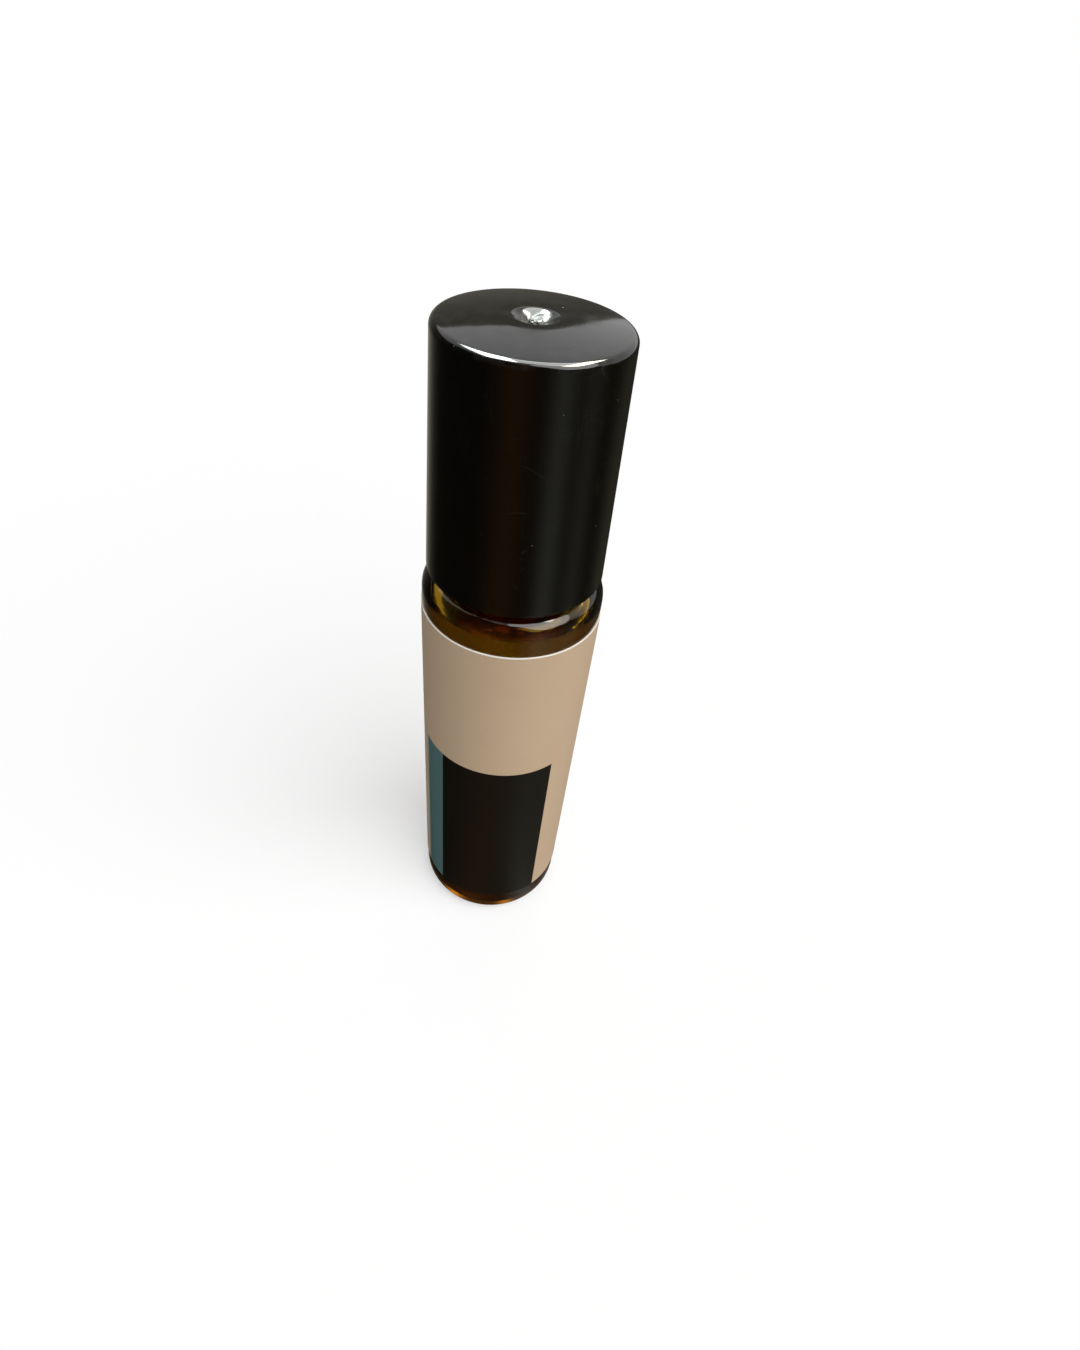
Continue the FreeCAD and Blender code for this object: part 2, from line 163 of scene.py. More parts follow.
class Graph:
    """The node tree of one material or of the world."""

    def __init__(self, owner: Union[bpy.types.Material, bpy.types.World]) -> None:
        """Empty the owner's node tree."""
        owner.use_nodes = True
        self.owner = owner
        self.tree = owner.node_tree
        self.tree.nodes.clear()

    @classmethod
    def material(cls, name: str) -> "Graph":
        """The graph of a new material."""
        return cls(bpy.data.materials.new(name))

    def node(
        self,
        kind: str,
        settings: Optional[Mapping[str, Any]] = None,
        inputs: Optional[Mapping[Union[str, int], Feed]] = None,
    ) -> bpy.types.Node:
        """Add a node.

        Args:
            kind: The node's type.
            settings: Its own properties, which are set first.
            inputs: Values or links for its sockets, by name or number.

        Returns:
            The node.
        """
        node = self.tree.nodes.new(kind)
        for name, value in (settings or {}).items():
            setattr(node, name, value)
        for key, value in (inputs or {}).items():
            self.feed(node.inputs[key], value)
        return node

    def feed(self, socket: bpy.types.NodeSocket, value: Feed) -> None:
        """Link a signal or socket to a socket, or set the socket's own value."""
        if isinstance(value, Signal):
            self.tree.links.new(value.socket, socket)
        elif isinstance(value, bpy.types.NodeSocket):
            self.tree.links.new(value, socket)
        elif socket.type == "RGBA":
            socket.default_value = (*value, 1.0)
        else:
            socket.default_value = value

    def value(self, node: bpy.types.Node, output: Union[str, int] = 0) -> Signal:
        """One output of a node, as a value."""
        return Signal(self, node.outputs[output])

    def place(self, stretch: Colour = (1, 1, 1), turn: Colour = (0, 0, 0)) -> bpy.types.NodeSocket:
        """Object coordinates in millimetres, stretched and turned."""
        coordinates = self.node("ShaderNodeTexCoord").outputs["Object"]
        scale = tuple(share / MM for share in stretch)
        mapping = {"Vector": coordinates, "Scale": scale, "Rotation": turn}
        return self.node("ShaderNodeMapping", None, mapping).outputs["Vector"]

    def axes(self, vector: bpy.types.NodeSocket) -> tuple[Signal, ...]:
        """The three parts of a vector."""
        parts = self.node("ShaderNodeSeparateXYZ", None, {"Vector": vector})
        return tuple(self.value(parts, axis) for axis in "XYZ")

    def wrap(self) -> tuple[Signal, ...]:
        """The piece's own UV map, as two shares from 0 to 1."""
        return self.axes(self.node("ShaderNodeTexCoord").outputs["UV"])[:2]

    def noise(self, place: bpy.types.NodeSocket, size: float, detail: float = 3.0) -> Signal:
        """Cloudy noise from 0 to 1, whose blotches are about the given size in millimetres."""
        inputs = {"Vector": place, "Scale": 1 / size, "Detail": detail}
        return self.value(self.node("ShaderNodeTexNoise", None, inputs), 0)

    def specks(self, place: bpy.types.NodeSocket, spacing: float, radius: float, share: float) -> Signal:
        """Scattered round specks.

        Args:
            place: The coordinates to scatter over, in millimetres.
            spacing: The mean distance between the specks' centres.
            radius: The radius of a speck.
            share: The share of the specks that is kept.

        Returns:
            A mask that is 1 in a speck.
        """
        cells = self.node("ShaderNodeTexVoronoi", None, {"Vector": place, "Scale": 1 / spacing})
        lottery = self.node("ShaderNodeSeparateColor", None, {"Color": cells.outputs["Color"]})
        kept = self.value(lottery, "Red").step(1 - share, 1 - share + 0.02)
        reach = radius / spacing
        return (1 - self.value(cells, "Distance").step(0.5 * reach, reach)) * kept

    def hairlines(self, place: bpy.types.NodeSocket, spacing: float, width: float) -> Signal:
        """Thin lines along the borders of a stretched cell pattern."""
        inputs = {"Vector": place, "Scale": 1 / spacing}
        cells = self.node("ShaderNodeTexVoronoi", {"feature": "DISTANCE_TO_EDGE"}, inputs)
        return 1 - self.value(cells, "Distance").step(0, width / spacing)

    def mix(self, share: Operand, base: Feed, over: Feed, blend: str = "MIX") -> bpy.types.NodeSocket:
        """A colour that goes from the base to the one over it, or to a blend of both."""
        settings = {"data_type": "RGBA", "blend_type": blend}
        return self.node("ShaderNodeMix", settings, {0: share, 6: base, 7: over}).outputs[2]

    def tint(self, base: Feed, by: Signal) -> bpy.types.NodeSocket:
        """A colour scaled by a value."""
        grey = self.node("ShaderNodeCombineColor", None, {"Red": by, "Green": by, "Blue": by})
        return self.mix(1.0, base, grey.outputs[0], "MULTIPLY")

    def bump(self, height: Signal, depth: float, strength: float = 1.0) -> bpy.types.NodeSocket:
        """A normal that is tilted by a height from 0 to 1, whose full depth is in millimetres."""
        inputs = {"Strength": strength, "Distance": depth * MM, "Height": height}
        return self.node("ShaderNodeBump", None, inputs).outputs["Normal"]

    def finish(self, shader: bpy.types.Node) -> bpy.types.Material:
        """Make a shader the material's surface."""
        self.node("ShaderNodeOutputMaterial", None, {"Surface": shader.outputs[0]})
        return self.owner

    def surface(self, **inputs: Feed) -> bpy.types.Material:
        """Finish the material with a Principled shader, whose sockets are named with underscores."""
        named = {name.replace("_", " "): value for name, value in inputs.items()}
        return self.finish(self.node("ShaderNodeBsdfPrincipled", None, named))

    def absorb(self, colour: Colour, density: float) -> None:
        """Let the inside of the piece take light away with depth, by a density per metre."""
        volume = self.node("ShaderNodeVolumeAbsorption", None, {"Color": colour, "Density": density})
        output = next(n for n in self.tree.nodes if n.type == "OUTPUT_MATERIAL")
        self.feed(output.inputs["Volume"], volume.outputs[0])

    def seen(self) -> Signal:
        """One for the rays that see the white surroundings, and nothing for the light itself."""
        path = self.node("ShaderNodeLightPath")
        camera, glossy, transmission = (self.value(path, ray.value) for ray in Ray)
        return camera.larger(glossy).larger(transmission)


# Finishes


@dataclass(frozen=True)
class ClearFinish:
    """A clear body that takes colour from its depth, such as amber glass or oil."""

    name: str
    refraction: float
    depth_colour: Colour
    depth_density: float
    smear: float = 0.0
    smear_size: float = 3.5
    smear_grain: float = 0.25
    polish: float = 0.012
    wave_depth: float = 0.0
    wave_size: float = 2.2
    ring_size: float = 0.28
    ring_stretch: float = 0.08
    ring_weight: float = 2.5

    def material(self) -> bpy.types.Material:
        """A smooth clear surface with faint smears and mould waves, round an absorbing inside."""
        graph = Graph.material(self.name)
        place = graph.place()
        inputs: dict[str, Feed] = {"Roughness": 0.0}
        if self.smear:
            prints = graph.noise(place, self.smear_size, 4).step(0.52, 0.7)
            inputs["Roughness"] = self.polish + prints * graph.noise(place, self.smear_grain, 2) * self.smear
        if self.wave_depth:
            rings = graph.noise(graph.place((self.ring_stretch, self.ring_stretch, 1)), self.ring_size, 2)
            waves = graph.noise(place, self.wave_size, 1)
            inputs["Normal"] = graph.bump(waves + rings * self.ring_weight, self.wave_depth)
        material = graph.surface(
            Base_Color=(1, 1, 1), Transmission_Weight=1.0, IOR=self.refraction, **inputs
        )
        graph.absorb(self.depth_colour, self.depth_density)
        return material


@dataclass(frozen=True)
class PrintedPaper:
    """Coated label paper with flat blocks of ink, laid out by angle from the front and by height."""

    wrap_angle: float
    foot: float
    head: float
    paper: Colour = (0.520, 0.380, 0.250)
    border: Colour = (0.90, 0.87, 0.82)
    teal: Colour = (0.082, 0.172, 0.172)
    panel: Colour = (0.0072, 0.0056, 0.0026)
    strip_start: float = -64.0
    panel_start: float = -43.0
    panel_end: float = 41.0
    block_top: float = 34.5
    ink_edge: float = 0.03
    border_width: float = 0.13
    fibre_size: float = 0.16
    cloud_size: float = 6.0
    wobble_size: float = 0.12
    relief_depth: float = 0.006

    def material(self) -> bpy.types.Material:
        """Paper with faint fibres and clouds, two blocks of ink and a soft coated sheen."""
        graph = Graph.material("label_print")
        around, along = graph.wrap()
        place = graph.place()
        fibres = graph.noise(graph.place((1, 1, 0.35)), self.fibre_size, 5)
        clouds = graph.noise(place, self.cloud_size, 3)
        wobble = (graph.noise(place, self.wobble_size, 2) - 0.5) * self.ink_edge
        angle = (around - 0.5) * self.wrap_angle + wobble * 6
        height = along * (self.head - self.foot) + self.foot + wobble
        lower = 1 - height.step(self.block_top - self.ink_edge, self.block_top + self.ink_edge)
        strip = angle.band(self.strip_start, self.panel_start, 0.12) * lower
        panel = angle.band(self.panel_start, self.panel_end, 0.12) * lower
        ink = strip.larger(panel)
        sheet = graph.tint(self.paper, 0.93 + clouds * 0.09 + fibres * 0.05)
        colour = graph.mix(panel, graph.mix(strip, sheet, self.teal), self.panel)
        bare = height.step(self.head - self.border_width - self.ink_edge, self.head - self.border_width)
        colour = graph.mix(bare, colour, self.border)
        relief = fibres * 0.7 + clouds * 0.3
        return graph.surface(
            Base_Color=graph.tint(colour, 0.97 + fibres * 0.06),
            Roughness=0.62 - ink * 0.14 + (fibres - 0.5) * 0.16,
            Specular_IOR_Level=0.2,
            Normal=graph.bump(relief, self.relief_depth, 0.7),
        )


@dataclass(frozen=True)
class PlainPaper:
    """Bare paper: the cut edge of the label, or its glued back, which lets some light through.

    The back is pale along the label's head and darker below it: painted shade, standing in for the dimmer
    light that reaches it lower inside the bottle.
    """

    name: str
    colour: Colour
    light_reach: float = 0.0
    painted_shade_share: float = 1.0
    painted_shade_from: float = 44.0
    painted_shade_full: float = 34.0
    fibre_size: float = 0.08
    relief_depth: float = 0.01

    def material(self) -> bpy.types.Material:
        """Matt paper with a fine fibrous grain, darkened below the head by painted shade where a share below
        one is given.
        """
        graph = Graph.material(self.name)
        fibres = graph.noise(graph.place((1, 1, 0.5)), self.fibre_size, 4)
        height = graph.axes(graph.place())[2]
        # Painted shade: the colour falls to the given share below the head, for the dimmer light inside the
        # bottle.
        pale = self.painted_shade_share + height.step(self.painted_shade_full, self.painted_shade_from) * (1 - self.painted_shade_share)
        return graph.surface(
            Base_Color=graph.tint(self.colour, (0.9 + fibres * 0.2) * pale),
            Roughness=0.7 + fibres * 0.2,
            Specular_IOR_Level=0.3,
            Subsurface_Weight=1.0 if self.light_reach else 0.0,
            Subsurface_Radius=(1.0, 0.95, 0.85),
            Subsurface_Scale=self.light_reach * MM,
            Normal=graph.bump(fibres, self.relief_depth, 0.6),
        )


@dataclass(frozen=True)
class GlossPlastic:
    """Black moulded plastic with a high gloss, handled a little."""

    colour: Colour = (0.0016, 0.0014, 0.0008)
    dust: Colour = (0.16, 0.155, 0.145)
    gloss: float = 0.07
    top_height: float = 84.0
    gate_radius: float = 2.0
    gate_height: float = 83.5
    gate_blur: float = 0.5
    top_blur: float = 0.3
    smear_size: float = 4.0
    upright_spacing: float = 1.3
    slanted_spacing: float = 1.9
    scuff_width: float = 0.02
    scuff_patch: float = 3.0
    fine_specks: tuple[float, float, float] = (1.5, 0.07, 0.22)
    large_specks: tuple[float, float, float] = (3.1, 0.12, 0.3)
    wave_size: float = 2.6
    haze_size: float = 1.5
    relief_depth: float = 0.012

    def material(self) -> bpy.types.Material:
        """Near black, with flow waves, smears, scuffs and dust, a hazy top and a torn, duller gate."""
        graph = Graph.material("cap_gloss")
        place = graph.place()
        smears = graph.noise(graph.place((1, 1, 0.5)), self.smear_size, 5).step(0.42, 0.75)
        tall, slant = graph.place((1, 1, 0.09), (0.06, 0.03, 0.1)), graph.place((0.14, 1, 1), (0.4, 0.9, 0.2))
        upright = graph.hairlines(tall, self.upright_spacing, self.scuff_width)
        slanted = graph.hairlines(slant, self.slanted_spacing, self.scuff_width)
        scuffs = upright.larger(slanted) * graph.noise(place, self.scuff_patch, 2).step(0.5, 0.7)
        specks = graph.specks(place, *self.fine_specks).larger(graph.specks(place, *self.large_specks))
        waves = graph.noise(place, self.wave_size, 1)
        east, north, up = graph.axes(place)
        away = (east * east + north * north).math("SQRT")
        torn = 1 - away.step(0.6 * self.gate_radius, self.gate_radius)
        torn = torn * up.step(self.gate_height - self.gate_blur, self.gate_height)
        haze = graph.noise(place, self.haze_size, 5).step(0.4, 0.75)
        haze = haze * up.step(self.top_height - self.top_blur, self.top_height)
        colour = graph.mix(specks * 0.75 + scuffs * 0.05 + haze * 0.07, self.colour, self.dust)
        return graph.surface(
            Base_Color=colour,
            Roughness=self.gloss + smears * 0.11 + scuffs * 0.16 + specks * 0.4 + torn * 0.2,
            IOR=1.5,
            Normal=graph.bump(waves + specks * 0.6 - scuffs * 0.08, self.relief_depth, 0.8),
        )


@dataclass(frozen=True)
class NaturalPlastic:
    """Soft milky plastic with no pigment."""

    colour: Colour = (0.78, 0.785, 0.74)
    cloud_size: float = 2.5
    grain_size: float = 0.12
    grain_depth: float = 0.006
    light_reach: float = 1.2

    def material(self) -> bpy.types.Material:
        """Waxy white, a little cloudy, with a fine moulded grain."""
        graph = Graph.material("fitment_plastic")
        place = graph.place()
        clouds = graph.noise(place, self.cloud_size, 3)
        grain = graph.noise(place, self.grain_size, 3)
        return graph.surface(
            Base_Color=graph.tint(self.colour, 0.94 + clouds * 0.1),
            Roughness=0.36 + clouds * 0.12 + grain * 0.06,
            Subsurface_Weight=0.25,
            Subsurface_Scale=self.light_reach * MM,
            IOR=1.5,
            Normal=graph.bump(grain, self.grain_depth, 0.5),
        )


@dataclass(frozen=True)
class PolishedSteel:
    """Polished ball steel with a trace of oil and fine rolling marks."""

    colour: Colour = (0.60, 0.60, 0.605)
    oil: Colour = (0.56, 0.53, 0.44)
    film_size: float = 2.0
    mark_spacing: float = 0.9
    mark_width: float = 0.02
    relief_depth: float = 0.002

    def material(self) -> bpy.types.Material:
        """Mirror metal whose gloss is broken by faint rolling marks and a film of oil."""
        graph = Graph.material("ball_polish")
        place = graph.place()
        marks = graph.hairlines(graph.place((0.2, 1, 1), (0.7, 0.3, 0.5)), self.mark_spacing, self.mark_width)
        film = graph.noise(place, self.film_size, 3).step(0.45, 0.7)
        return graph.surface(
            Base_Color=graph.mix(film * 0.25, self.colour, self.oil),
            Metallic=1.0,
            Roughness=0.05 + film * 0.07 + marks * 0.10,
            Normal=graph.bump(film - marks * 0.2, self.relief_depth, 0.5),
        )


# Surfaces


@dataclass(frozen=True)
class Corner:
    """A corner of a half profile: its distance from the axis, its height and its rounding radius."""

    across: float
    up: float
    round: float = 0.0


@dataclass
class Surface:
    """Points and faces of a mesh, with an optional material per face and UV place per point."""

    points: Array
    faces: list[list[int]]
    materials: Optional[Array] = None
    wrap: Optional[Array] = None


def smooth(share: Array) -> Array:
    """The smooth step 3 t^2 - 2 t^3, with t held between 0 and 1."""
    held = np.clip(share, 0, 1)
    return held * held * (3 - 2 * held)


def unit(vector: Array) -> Array:
    """A vector of length one."""
    return vector / np.linalg.norm(vector)


def rounded(corners: Sequence[Corner], arc_sides: int = 8) -> Array:
    """Draw a line through corners, with a tangent arc at each that has a radius.

    With a half angle h between a corner's two sides, the arc leaves each side radius / tan h from the corner,
    and its centre lies radius / sin h along the bisector. Its points are evenly turned from one to the other.

    Args:
        corners: The corners in order.
        arc_sides: The number of straight sides of an arc.

    Returns:
        Points as rows of distance from the axis and height.
    """
    places = np.array([(corner.across, corner.up) for corner in corners])
    runs = []
    for number, corner in enumerate(corners):
        at = places[number]
        if not corner.round:
            runs.append(at[None])
            continue
        back, ahead = unit(places[number - 1] - at), unit(places[number + 1] - at)
        half = math.acos(float(back @ ahead)) / 2
        centre = at + unit(back + ahead) * corner.round / math.sin(half)
        start, end = (at + side * corner.round / math.tan(half) - centre for side in (back, ahead))
        turn = math.pi - 2 * half
        share = np.linspace(0, 1, arc_sides + 1)[:, None]
        swing = np.sin((1 - share) * turn) * start + np.sin(share * turn) * end
        runs.append(centre + swing / math.sin(turn))
    return np.vstack(runs)


def refine(line: Array, step: float) -> Array:
    """Divide every side of a line into equal parts no longer than a step."""
    sides = np.diff(line, axis=0)
    counts = np.ceil(np.hypot(*sides.T) / step).astype(int).clip(1)
    firsts = np.repeat(np.cumsum(counts) - counts, counts)
    share = (np.arange(counts.sum()) - firsts) / np.repeat(counts, counts)
    inner = np.repeat(line[:-1], counts, axis=0) + share[:, None] * np.repeat(sides, counts, axis=0)
    return np.vstack([inner, line[-1:]])


def grid_faces(rows: int, columns: int, closed: bool) -> Array:
    """Four-sided faces of a grid of points, whose last column meets the first where it is closed.

    Args:
        rows: The number of rows of points.
        columns: The number of points in a row.
        closed: Whether the rows are rings.

    Returns:
        One face a row, in the order that faces left of a row's direction.
    """
    numbers = np.arange(rows * columns).reshape(rows, columns)
    if closed:
        numbers = np.hstack([numbers, numbers[:, :1]])
    corners = (numbers[:-1, :-1], numbers[:-1, 1:], numbers[1:, 1:], numbers[1:, :-1])
    return np.stack(corners, axis=-1).reshape(-1, 4)


def lathe(line: Array, segments: int, shift: Optional[Shift] = None) -> Surface:
    """Carry a half profile round the Z axis.

    The point of row i and angle a is ((r_i + dr) cos a, (r_i + dr) sin a, z_i + dz), where dr and dz are the
    shift at r_i, z_i and a. The first and last rows lie on the axis and become one point each.

    Args:
        line: Rows of distance from the axis and height, with the solid on the left.
        segments: The number of points round a ring.
        shift: What moves the points outwards and upwards.

    Returns:
        A closed surface that faces outwards.
    """
    angles = np.linspace(0, TURN, segments, endpoint=False)
    across, up, angle = np.broadcast_arrays(line[1:-1, :1], line[1:-1, 1:], angles[None])
    if shift:
        out, lift = shift(across, up, angle)
        across, up = across + out, up + lift
    ring_points = np.stack([across * np.cos(angle), across * np.sin(angle), up], axis=-1).reshape(-1, 3)
    poles = np.array([(0, 0, line[0, 1]), (0, 0, line[-1, 1])])
    rows = len(line) - 2
    first, last = len(ring_points), len(ring_points) + 1
    here = np.arange(segments)
    ahead = (here + 1) % segments
    top = (rows - 1) * segments
    lower_fan = np.stack([np.full(segments, first), ahead, here], axis=-1)
    upper_fan = np.stack([top + here, top + ahead, np.full(segments, last)], axis=-1)
    faces = grid_faces(rows, segments, True).tolist() + lower_fan.tolist() + upper_fan.tolist()
    return Surface(np.vstack([ring_points, poles]), faces)


def sheet(outer: Array, inner: Array, wrap: Array) -> Surface:
    """Close two grids of points, an outer and an inner face, into one thin sheet.

    Args:
        outer: The outer face's points, as rows by columns by three.
        inner: The inner face's points, alike.
        wrap: The UV place of each point of a face.

    Returns:
        A closed surface with the printed, back and cut edge faces numbered.
    """
    rows, columns = outer.shape[:2]
    count = rows * columns
    front = grid_faces(rows, columns, False)
    back = front[:, ::-1] + count
    numbers = np.arange(count).reshape(rows, columns)
    border = np.concatenate([numbers[0], numbers[1:, -1], numbers[-1, -2::-1], numbers[-2:0:-1, 0]])
    following = np.roll(border, -1)
    edge = np.stack([border + count, following + count, following, border], axis=-1)
    kinds = ((front, Face.PRINTED), (back, Face.BACK), (edge, Face.CUT_EDGE))
    materials = np.concatenate([np.full(len(faces), kind.value) for faces, kind in kinds])
    points = np.concatenate([outer.reshape(-1, 3), inner.reshape(-1, 3)])
    faces = np.concatenate([front, back, edge]).tolist()
    return Surface(points, faces, materials, np.concatenate([wrap.reshape(-1, 2)] * 2))


def add_object(name: str, data: bpy.types.ID) -> bpy.types.Object:
    """Put a mesh, camera or lamp into the scene as a new object."""
    piece = bpy.data.objects.new(name, data)
    bpy.context.scene.collection.objects.link(piece)
    return piece


def make_object(name: str, surface: Surface) -> bpy.types.Object:
    """Write a surface into a new mesh object, in metres, at the origin.

    Args:
        name: The object's name.
        surface: Its points and faces, in millimetres.

    Returns:
        The object, smooth but for its sharp edges.
    """
    mesh = bpy.data.meshes.new(name)
    mesh.from_pydata((surface.points * MM).tolist(), [], surface.faces)
    if surface.materials is not None:
        mesh.polygons.foreach_set("material_index", surface.materials.astype(np.int32))
    if surface.wrap is not None:
        corners = np.empty(len(mesh.loops), np.int32)
        mesh.loops.foreach_get("vertex_index", corners)
        layer = mesh.uv_layers.new(name="wrap")
        layer.uv.foreach_set("vector", surface.wrap[corners].astype(np.float32).ravel())
    mesh.shade_smooth()
    mesh.set_sharp_from_angle(angle=SHARP_ANGLE)
    return add_object(name, mesh)


@dataclass(frozen=True)
class Thread:
    """A single right-hand screw ridge.

    At angle a the ridge's middle lies at foot + pitch (a / turn + k), for the whole number k that is nearest.
    It rises as a smooth step of the distance from there, and fades in and out along its first and last parts.
    """

    foot: float
    pitch: float
    turns: float
    rise: float
    width: float
    flank: float
    fade: float = 0.12

    def height(self, up: Array, angle: Array) -> Array:
        """The ridge's height at points given by their height and angle."""
        share = angle / TURN
        along = share + np.round((up - self.foot) / self.pitch - share)
        away = np.abs(up - self.foot - self.pitch * along)
        ridge = smooth((self.width / 2 - away) / self.flank)
        return self.rise * ridge * smooth(along / self.fade) * smooth((self.turns - along) / self.fade)


# Sub-assemblies


@dataclass(frozen=True)
class Seat:
    """Where a piece belongs: the body it rides on, its material slot and the CAD node it stands for."""

    body: Body
    slot: str
    node: str

    def settle(self, piece: bpy.types.Object) -> None:
        """Make the piece ride on its body and stand for its node, whose CAD shape is hidden."""
        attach(piece, self.body.value)
        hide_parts(self.node)
        faces = len(piece.data.polygons)
        log.info("%s: %d faces, for %s, on %s", piece.name, faces, self.node, self.body.value)


class SubAssembly(Protocol):
    """What every sub-assembly with its own mesh has and can do."""

    seat: Seat

    def build(self) -> bpy.types.Object:
        """Make the piece's mesh."""

    def dress(self, piece: bpy.types.Object) -> None:
        """Give the piece its finish."""


class Turned:
    """A piece with one finish, whose half profile is carried round the axis."""

    name: str
    segments: int
    finish: Union[ClearFinish, GlossPlastic, PolishedSteel]
    shift: Optional[Shift] = None

    def line(self) -> Array:
        """The half profile, as rows of distance from the axis and height."""
        raise NotImplementedError

    def build(self) -> bpy.types.Object:
        """The piece's closed surface."""
        return make_object(self.name, lathe(self.line(), self.segments, self.shift))

    def dress(self, piece: bpy.types.Object) -> None:
        """Its one finish, all over."""
        piece.data.materials.append(self.finish.material())


@dataclass
class GlassBottle(Turned):
    """The glass: a straight body with heel and shoulder, a threaded neck, and the chamber inside."""

    radius: float
    rim: float
    neck_height: float = 12.6
    neck_radius: float = 7.3
    bore_radius: float = 5.6
    wall: float = 2.2
    heel_round: float = 1.8
    bearing_width: float = 1.6
    push_up_depth: float = 0.9
    base_thickness: float = 4.0
    floor_round: float = 2.4
    shoulder_round: float = 2.494
    neck_root: float = 0.348
    rim_round: float = 0.442
    ceiling_round: float = 1.32
    throat_round: float = 0.84
    wave_rise: float = 0.012
    seam_rise: float = 0.035
    seam_width: float = 0.11
    knurl_count: int = 48
    knurl_depth: float = 0.02
    seam_start: float = 1.2
    seam_end: float = 0.5
    push_up_rows: int = 11
    outer_sides: int = 12
    inner_sides: int = 10
    outer_step: float = 0.9
    thread_step: float = 0.11
    inner_step: float = 1.6
    segments: int = 240

    name = "bottle_glass"
    ridge = Thread(foot=3.9, pitch=3.0, turns=1.6, rise=0.75, width=1.75, flank=0.62)
    seat = Seat(Body.BOTTLE, "amber_glass", "glass_bottle")
    finish = ClearFinish("amber_glass", 1.52, (0.855, 0.733, 0.0), 600.0, smear=0.05, wave_depth=0.004)

    @classmethod
    def from_frame(cls) -> "GlassBottle":
        """The bottle, as wide and tall as its CAD node."""
        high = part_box(cls.seat.node)[1]
        return cls(radius=high.x / MM, rim=high.z / MM)

    @property
    def shoulder(self) -> float:
        """The height where the shoulder meets the neck."""
        return self.rim - self.neck_height

    @property
    def thread(self) -> Thread:
        """The ridge on the outside of the neck."""
        return replace(self.ridge, foot=self.shoulder + self.ridge.foot)

    def line(self) -> Array:
        """The half profile: under the base, up the outside, over the rim and down the inside."""
        bearing_inner = self.radius - self.heel_round - self.bearing_width
        share = np.linspace(0, 1, self.push_up_rows + 1)[:-1, None]
        push_up = np.hstack([share * bearing_inner, self.push_up_depth * (1 - share**2)])
        thread_low = self.thread.foot - self.ridge.pitch / 2
        thread_high = thread_low + self.ridge.pitch * (self.ridge.turns + 1)
        ceiling = self.shoulder - self.wall
        chamber = self.radius - self.wall
        outside = rounded([
            Corner(bearing_inner, 0),
            Corner(self.radius, 0, self.heel_round),
            Corner(self.radius, self.shoulder, self.shoulder_round),
            Corner(self.neck_radius, self.shoulder, self.neck_root),
            Corner(self.neck_radius, thread_low),
        ], self.outer_sides)
        threaded = np.array([(self.neck_radius, thread_low), (self.neck_radius, thread_high)])
        inside = rounded([
            Corner(self.neck_radius, thread_high),
            Corner(self.neck_radius, self.rim, self.rim_round),
            Corner(self.bore_radius, self.rim, self.rim_round),
            Corner(self.bore_radius, ceiling, self.throat_round),
            Corner(chamber, ceiling, self.ceiling_round),
            Corner(chamber, self.base_thickness, self.floor_round),
            Corner(0, self.base_thickness),
        ], self.inner_sides)
        lower = refine(np.vstack([push_up, outside]), self.outer_step)
        neck = refine(threaded, self.thread_step)
        return np.vstack([lower[:-1], neck[:-1], refine(inside, self.inner_step)])

    def shift(self, across: Array, up: Array, angle: Array) -> tuple[Array, Array]:
        """Thread, mould seams, faint waves and the base's knurl.

        A seam is a bell-shaped ridge at angles 0 and half a turn, above the label's reach and on the neck.
        The knurl lifts the bearing ring by a cosine of the angle, times a window across the ring.
        """
        outer = across > (self.neck_radius + self.bore_radius) / 2
        neck = outer & (up > self.shoulder + self.neck_root)
        off_seam = np.abs((angle + TURN / 4) % (TURN / 2) - TURN / 4) * across
        seam = self.seam_rise * np.exp(-((off_seam / self.seam_width) ** 2))
        seam = seam * smooth((up - self.shoulder + self.shoulder_round) / self.seam_start)
        seam = seam * smooth((self.rim - up) / self.seam_end)
        waves = self.wave_rise * np.sin(3 * angle + 0.31 * up) * np.sin(0.23 * up + 2 * angle)
        out = neck * self.thread.height(up, angle) + outer * (seam + np.minimum(waves, 0))
        middle = self.radius - self.heel_round - self.bearing_width / 2
        window = smooth(1 - np.abs(across - middle) / self.bearing_width) * (up < self.knurl_depth)
        lift = self.knurl_depth * window * (0.5 + 0.5 * np.cos(self.knurl_count * angle))
        return out, lift


@dataclass
class OilFill(Turned):
    """The liquid in the chamber, with the rim of its surface drawn up the glass."""

    glass: GlassBottle
    level: float
    overlap: float = 0.04
    creep: float = 0.35
    creep_reach: float = 0.8
    floor_sides: int = 10
    wall_step: float = 2.0
    surface_rows: int = 28
    crowding: float = 0.6
    segments: int = 160

    name = "bottle_oil"
    seat = Seat(Body.BOTTLE, "oil", "oil_fill")
    finish = ClearFinish("oil_clear", 1.47, (0.93, 0.87, 0.30), 150.0)

    @classmethod
    def from_frame(cls, glass: GlassBottle) -> "OilFill":
        """The liquid up to its CAD node's level, in this glass."""
        return cls(glass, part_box(cls.seat.node)[1].z / MM)

    def line(self) -> Array:
        """The half profile: floor, wall and the surface, which rises to the wall as an exponential.

        The skin lies a hair inside the glass, so that a ray goes from one straight into the other.
        """
        radius = self.glass.radius - self.glass.wall + self.overlap
        floor = self.glass.base_thickness - self.overlap
        wall = rounded([
            Corner(0, floor),
            Corner(radius, floor, self.glass.floor_round + self.overlap),
            Corner(radius, self.level),
        ], self.floor_sides)
        across = radius * np.linspace(1, 0, self.surface_rows) ** self.crowding
        rise = self.creep * np.exp((across - radius) / self.creep_reach)
        return np.vstack([refine(wall, self.wall_step), np.stack([across, self.level + rise], axis=-1)])


